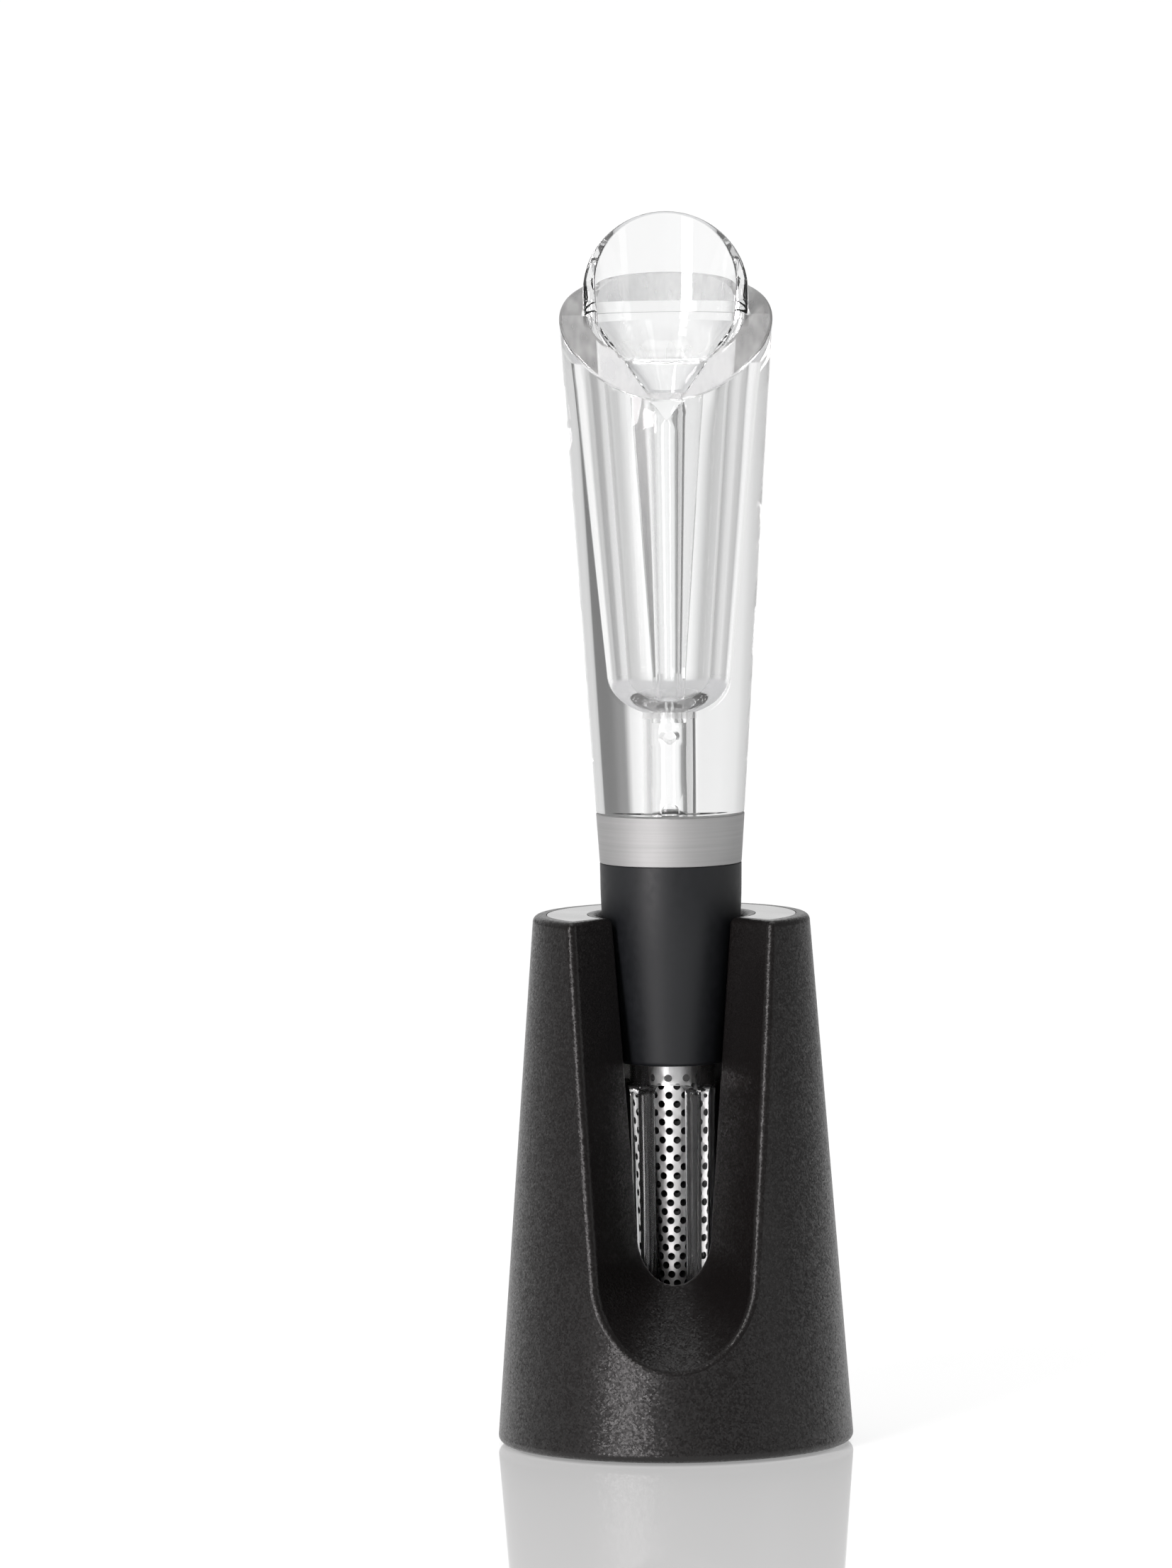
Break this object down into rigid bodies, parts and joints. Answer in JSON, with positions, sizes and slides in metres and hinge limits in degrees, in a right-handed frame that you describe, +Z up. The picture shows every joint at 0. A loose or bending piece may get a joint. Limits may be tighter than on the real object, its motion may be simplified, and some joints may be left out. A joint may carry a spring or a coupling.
{
  "type": "wine aerator pourer",
  "caption": "Wine aerator pourer with a clear conical body, slanted spout, tapered stopper and caged filter, standing upright in a slotted conical stand.",
  "frame": {"origin": "on the surface that the stand rests on, under the stand's centre", "axes": "+Z up along the pourer; -Y towards the stand's slot, the air hole and the low side of the spout; +X to the right seen from the front"},
  "size_m": [0.06, 0.06, 0.2077],
  "materials": {
    "stand_black": "satin black with a fine metallic grain",
    "plate_steel": "brushed",
    "base_black": "satin",
    "foot_rubber": "matte",
    "screw_steel": "plain",
    "cage_clear": "clear, polished",
    "silicone_grey": "matte silicone",
    "ring_steel": "brushed round the ring",
    "filter_steel": "perforated sheet, satin",
    "housing_clear": "clear, polished",
    "seal_rubber": "matte",
    "spout_clear": "clear, polished"
  },
  "bodies": {
    "stand": {"stand_shell": "stand_black", "stand_top_plate": "plate_steel", "stand_base_plate": "base_black", "stand_foot_ring": "foot_rubber", "base_screws": "screw_steel"},
    "stopper_unit": {"filter_cage": "cage_clear", "silicone_stopper": "silicone_grey", "steel_ring": "ring_steel", "perforated_filter": "filter_steel"},
    "head": {"clear_housing": "housing_clear", "housing_o_ring": "seal_rubber"},
    "spout": {"spout_insert": "spout_clear"}
  },
  "joints": [
    {"name": "pourer_lift", "type": "slide", "parent": "stand", "child": "stopper_unit", "axis": [0, 0, 1], "range_m": [0, 0.08]},
    {"name": "head_lift", "type": "slide", "parent": "stopper_unit", "child": "head", "axis": [0, 0, 1], "range_m": [0, 0.03]},
    {"name": "spout_lift", "type": "slide", "parent": "head", "child": "spout", "axis": [0, 0, 1], "range_m": [0, 0.075]}
  ]
}
